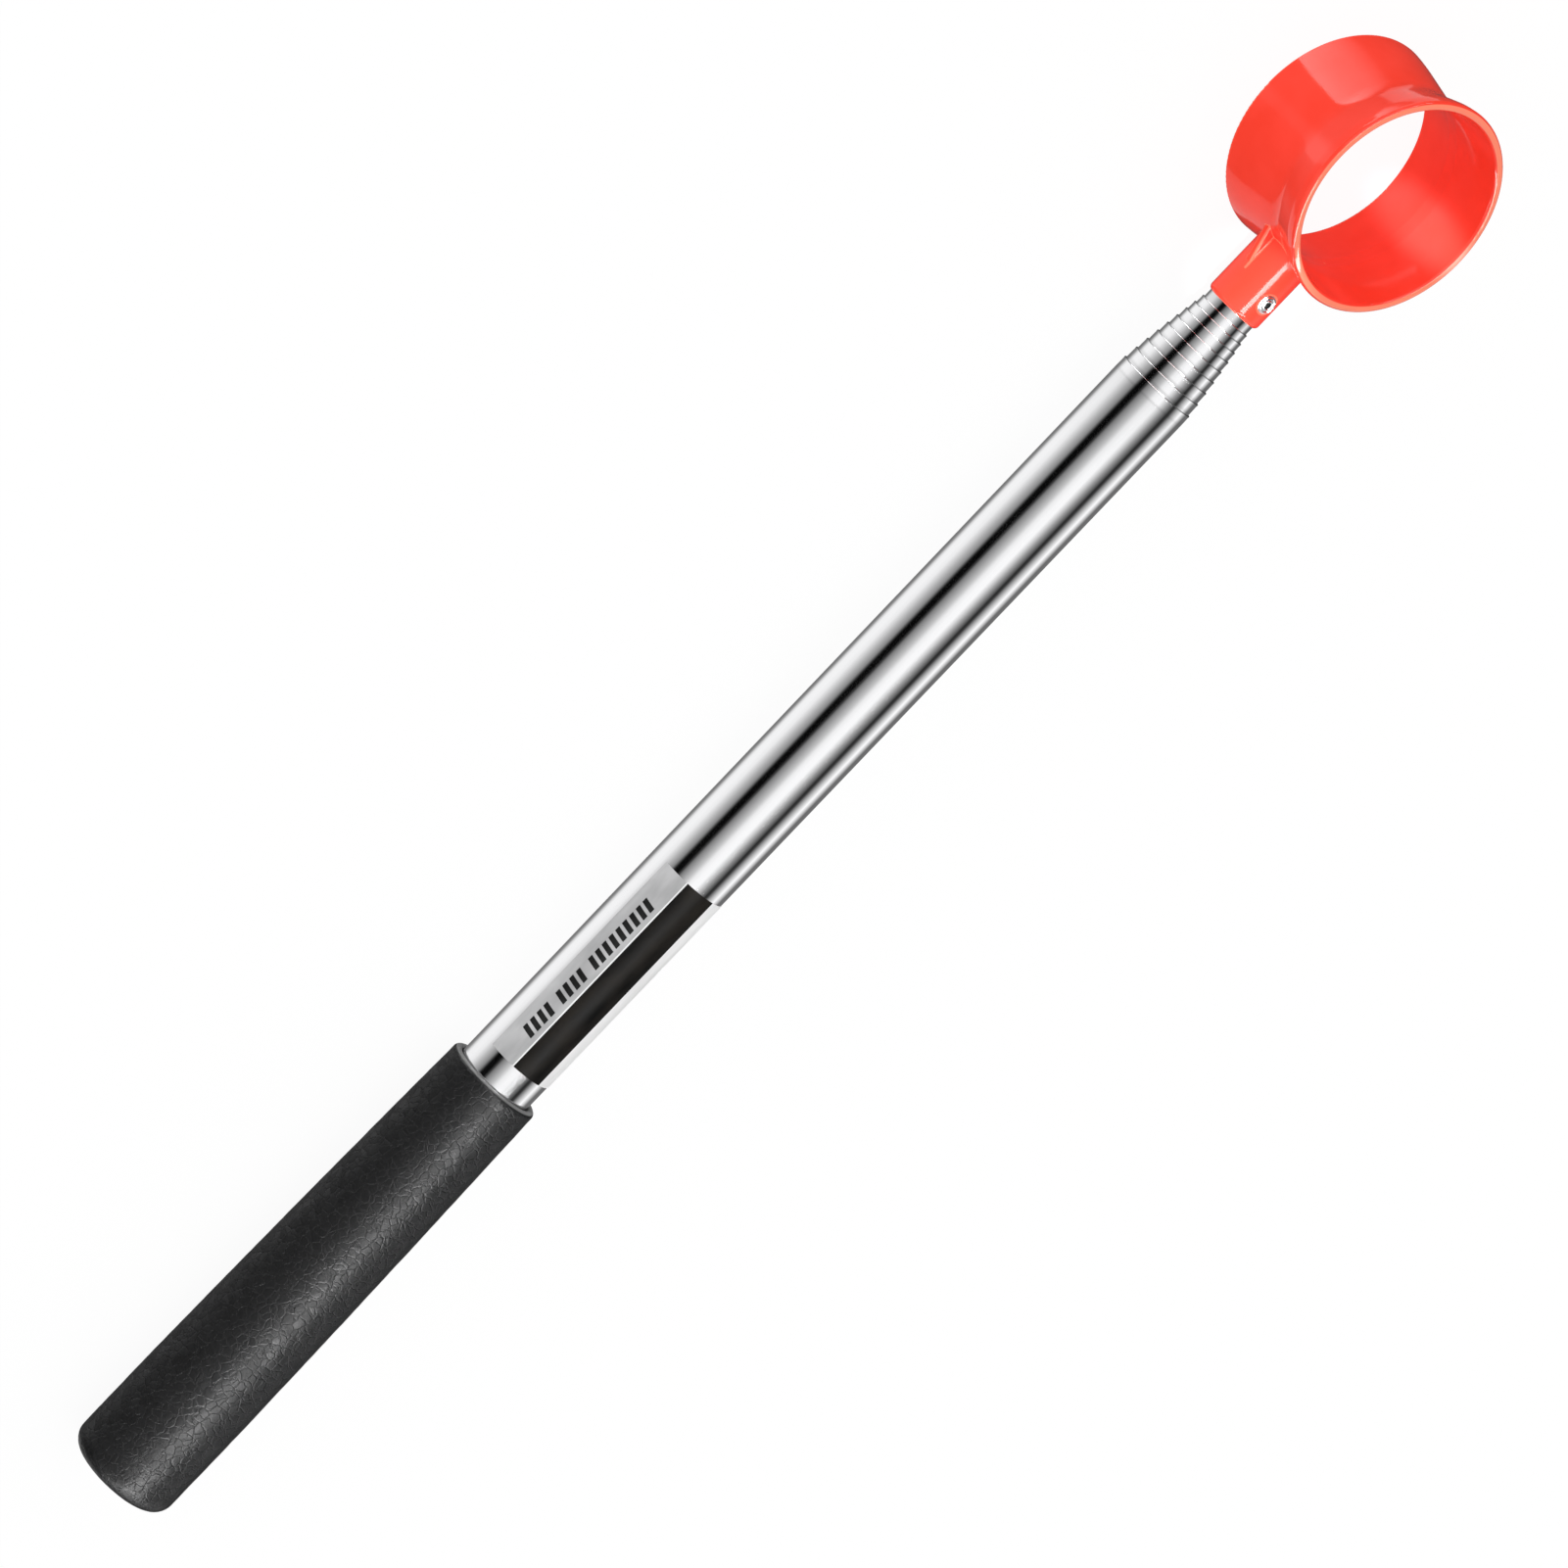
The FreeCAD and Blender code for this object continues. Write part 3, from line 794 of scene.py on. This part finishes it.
# Separate soft boxes: from and to degrees round the pole, from and to x of the direction, level.
STRIP = (66.0, 75.0, -1.0, 0.0, 10.0)
GRIP_STRIP = (83.0, 102.0, 0.215, 1.0, 20.0)
RIM_BOX = (15.0, 75.0, -0.9, -0.12, 1.5)
FLANGE_BOX = (-121.0, -100.0, -0.62, -0.2, 0.55)
FOOT_BOX = (-134.0, -91.0, 0.45, 0.9, 0.6)
PATCH = (-90.0, -17.0, -1.0, -0.455, 5.8)
PATCH_FADE_X = (-1.0, -0.455)
PATCH_FADE_DEG = (-90.0, -56.0)
DOME_LEVEL = 0.98
DOME_KEY = (-0.26, -0.26, 0.30)
DOME_END_LOSS = 0.6
# Narrow beams: width, height, softness of the edge, watts and colour.
BEAM_DISTANCE = 0.5
BEAM_FROM_DEG = 50.0
BEAM_LAMP_R = 2 * MM
INSIDE_BEAM = (15 * MM, 30 * MM, 1.0, 34.0, (0.30, 0.67, 1.0))
INSIDE_BEAM_AIM = 0.9
NECK_BEAM = (27 * MM, 30 * MM, 0.6, 10.0, (1.0, 1.0, 1.0))
NECK_BEAM_AIM = 33 * MM


def set_camera():
    """A long lens that looks into the ring's mouth, with the pole running up to the right."""
    head = Vector((-1, 0, 0))
    front = Vector((0, 0, 1))
    side = front.cross(head)
    ring_view = math.radians(RING_VIEW_DEG)
    tilt = math.radians(POLE_VIEW_DEG)
    across = math.cos(ring_view) * front + math.sin(ring_view) * side
    back = math.cos(tilt) * across + math.sin(tilt) * head
    up_pole = (head - head.dot(back) * back).normalized()
    right_of_pole = up_pole.cross(back)
    roll = math.radians(POLE_ON_SCREEN_DEG)
    screen_x = math.cos(roll) * up_pole + math.sin(roll) * right_of_pole
    screen_y = math.sin(roll) * up_pole - math.cos(roll) * right_of_pole
    target = Vector((RING_X + TARGET_FROM_RING, 0, POLE_Z)) + right_of_pole * TARGET_ASIDE
    lens = bpy.data.cameras.new("camera")
    lens.lens = LENS_MM
    lens.sensor_width = SENSOR_MM
    lens.clip_end = CLIP_END
    camera = bpy.data.objects.new("camera", lens)
    bpy.context.scene.collection.objects.link(camera)
    distance = FRAME_WIDTH * LENS_MM / SENSOR_MM
    turn = Matrix((screen_x, screen_y, back)).transposed().to_4x4()
    camera.matrix_world = Matrix.Translation(target + back * distance) @ turn
    bpy.context.scene.camera = camera


def ramp(tree, share, stops, scale):
    """Grey levels along a ramp; each stop is (angle in degrees, level)."""
    bands = add_node(tree, "ShaderNodeValToRGB", {"Fac": share})
    elements = bands.color_ramp.elements
    for index, (degrees, level) in enumerate(stops):
        place = (degrees + 180) / 360
        stop = elements[index] if index < 2 else elements.new(place)
        stop.position = place
        stop.color = (level / scale, level / scale, level / scale, 1)
    return bands.outputs["Color"]


def window(tree, value, low, high):
    """1 where a value lies between two limits, 0 elsewhere."""
    over = calculate(tree, "GREATER_THAN", value, low)
    return product(tree, over, calculate(tree, "LESS_THAN", value, high))


def fade_in(tree, angle, limits):
    """0 before the first of two angles in degrees, rising to 1 at the second."""
    start, end = (math.radians(degrees) for degrees in limits)
    return remap(tree, angle, start, end, 0, 1)


def soft_box(tree, angle, x, box):
    """The level of a soft box at a direction."""
    from_deg, to_deg, from_x, to_x, level = box
    round_pole = window(tree, angle, math.radians(from_deg), math.radians(to_deg))
    return product(tree, round_pole, window(tree, x, from_x, to_x), level)


def mirrored_level(tree, angle, x):
    """What polished surfaces mirror: bands along the pole and a few soft boxes."""
    bands = ramp(tree, remap(tree, angle, -math.pi, math.pi, 0, 1), BANDS, BANDS_SCALE)
    ahead = product(tree, remap(tree, x, *BANDS_AHEAD), BANDS_SCALE)
    shade = product(tree, remap(tree, x, *SHADE_X), fade_in(tree, angle, SHADE_DEG))
    level = product(tree, bands, ahead, remap(tree, x, *BANDS_BEHIND),
                    calculate(tree, "ADD", shade, 1.0))
    glint = product(tree, remap(tree, x, *GLINT_X), fade_in(tree, angle, GLINT_DEG))
    level = calculate(tree, "ADD", level, glint)
    for box in (STRIP, GRIP_STRIP, RIM_BOX, FLANGE_BOX, FOOT_BOX):
        level = calculate(tree, "ADD", level, soft_box(tree, angle, x, box))
    patch = product(tree, soft_box(tree, angle, x, PATCH), remap(tree, x, *PATCH_FADE_X, 0, 1),
                    fade_in(tree, angle, PATCH_FADE_DEG))
    return calculate(tree, "ADD", level, patch)


def dome_level(tree, direction, x):
    """Soft light from all round: brightest from above the near side, weaker along the pole."""
    lean = add_node(tree, "ShaderNodeVectorMath", {0: direction, 1: DOME_KEY},
                    operation="DOT_PRODUCT").outputs["Value"]
    level = calculate(tree, "ADD", lean, DOME_LEVEL)
    loss = product(tree, x, x, -DOME_END_LOSS)
    return product(tree, level, calculate(tree, "ADD", loss, 1.0))


def set_world():
    """A soft white dome, and in its place in reflections the bands and soft boxes."""
    world = bpy.data.worlds.new("studio")
    bpy.context.scene.world = world
    world.use_nodes = True
    tree = world.node_tree
    tree.nodes.clear()
    direction = add_node(tree, "ShaderNodeTexCoord", {}).outputs["Generated"]
    parts = add_node(tree, "ShaderNodeSeparateXYZ", {"Vector": direction})
    x, y, z = (parts.outputs[name] for name in "XYZ")
    angle = calculate(tree, "ARCTAN2", z, product(tree, y, -1.0))
    dome, mirrored = (
        add_node(tree, "ShaderNodeBackground", {"Color": WHITE_LIGHT, "Strength": level}).outputs[0]
        for level in (dome_level(tree, direction, x), mirrored_level(tree, angle, x))
    )
    glossy = add_node(tree, "ShaderNodeLightPath", {}).outputs["Is Glossy Ray"]
    mixed = add_node(tree, "ShaderNodeMixShader", {0: glossy, 1: dome, 2: mirrored})
    add_node(tree, "ShaderNodeOutputWorld", {"Surface": mixed.outputs[0]})
    bpy.context.scene.view_settings.view_transform = "Standard"


def lay_floor():
    """The plain pale floor, left out of reflections."""
    half = FLOOR_SIZE / 2
    mesh = bpy.data.meshes.new("floor")
    corners = [(-half, -half), (half, -half), (half, half), (-half, half)]
    mesh.from_pydata([(x, y, -FLOOR_DROP) for x, y in corners], [], [(0, 1, 2, 3)])
    material, tree, shader = new_material("floor")
    set_inputs(tree, shader, {
        "Base Color": (1 - FLOOR_GLOW, 1 - FLOOR_GLOW, 1 - FLOOR_GLOW, 1),
        "Emission Color": WHITE_LIGHT,
        "Emission Strength": FLOOR_GLOW,
        "Roughness": 1.0,
        "Specular IOR Level": 0.0,
    })
    mesh.materials.append(material)
    floor = bpy.data.objects.new("floor", mesh)
    bpy.context.scene.collection.objects.link(floor)
    floor.visible_glossy = False


def hang_card(name, corners, level):
    """A flat card of one brightness, met only by reflections."""
    mesh = bpy.data.meshes.new(name)
    mesh.from_pydata(corners, [], [tuple(range(len(corners)))])
    material, tree, shader = new_material(name)
    set_inputs(tree, shader, {
        "Base Color": (0, 0, 0, 1),
        "Specular IOR Level": 0.0,
        "Emission Color": WHITE_LIGHT,
        "Emission Strength": level,
    })
    mesh.materials.append(material)
    card = bpy.data.objects.new(name, mesh)
    bpy.context.scene.collection.objects.link(card)
    card.visible_camera = False
    card.visible_diffuse = False
    card.visible_shadow = False


def hang_cards():
    """A dark flag across the ring's rear mouth and a bright strip over the neck."""
    rim = []
    for step in range(FLAG_CORNERS):
        turn = 2 * math.pi * step / FLAG_CORNERS
        rim.append((RING_X + FLAG_R * math.cos(turn), FLAG_R * math.sin(turn), -FLAG_DROP))
    hang_card("flag", rim, FLAG_LEVEL)
    turn = math.radians(NECK_CARD_DEG)
    across = Vector((0, math.sin(turn), math.cos(turn))) * NECK_CARD_WIDTH / 2
    start = Vector((RING_X + NECK_CARD_FROM, *NECK_CARD_MIDDLE))
    end = Vector((RING_HIGH.x + NECK_CARD_PAST, *NECK_CARD_MIDDLE))
    hang_card("neck_card", [start - across, end - across, end + across, start + across],
              NECK_CARD_LEVEL)


def paint_cad(node, material):
    """A CAD node's finish."""
    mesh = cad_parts[node].data
    mesh.materials.clear()
    mesh.materials.append(material)


def add_beam(name, aim, width, height, blend, power, colour):
    """A soft narrow beam from above the near side, left out of reflections."""
    turn = math.radians(BEAM_FROM_DEG)
    away = Vector((0, -math.cos(turn), math.sin(turn)))
    across = Vector((1, 0, 0))
    lamp = bpy.data.lights.new(name, "SPOT")
    lamp.energy = power
    lamp.color = colour
    lamp.spot_size = 2 * math.atan(height / 2 / BEAM_DISTANCE)
    lamp.spot_blend = blend
    lamp.shadow_soft_size = BEAM_LAMP_R
    light = bpy.data.objects.new(name, lamp)
    bpy.context.scene.collection.objects.link(light)
    basis = Matrix((across, away.cross(across), away)).transposed().to_4x4()
    narrow = Matrix.Diagonal((width / height, 1, 1, 1))
    light.matrix_world = Matrix.Translation(aim + away * BEAM_DISTANCE) @ basis @ narrow
    light.visible_glossy = False


def aim_beams():
    """One beam on the ring's far inside wall, and one on the neck and its gussets."""
    inside = Vector((RING_X, INSIDE_BEAM_AIM * RING_R, RING_HIGH.z / 2))
    add_beam("inside_beam", inside, *INSIDE_BEAM)
    neck = Vector((RING_X + NECK_BEAM_AIM, 0, POLE_Z))
    add_beam("neck_beam", neck, *NECK_BEAM)


build_tubes(polished_steel())
build_rivet(bright_steel(), shaded_bore_steel())
build_grip(black_foam())
build_label(
    label_film("label_silver", LABEL_SILVER),
    label_film("label_white", LABEL_WHITE),
    label_film("label_black", LABEL_BLACK, gloss=0.08),
)
build_print(label_film("label_ink", LABEL_INK, rough=0.45))
paint_cad("ball_ring_head", red_plastic())
brass = spring_brass()
for sleeve in range(1, TUBE_COUNT):
    paint_cad(f"spring_sleeve_{sleeve}", brass)
paint_cad("butt_plug", black_plastic())
set_world()
lay_floor()
hang_cards()
aim_beams()
set_camera()
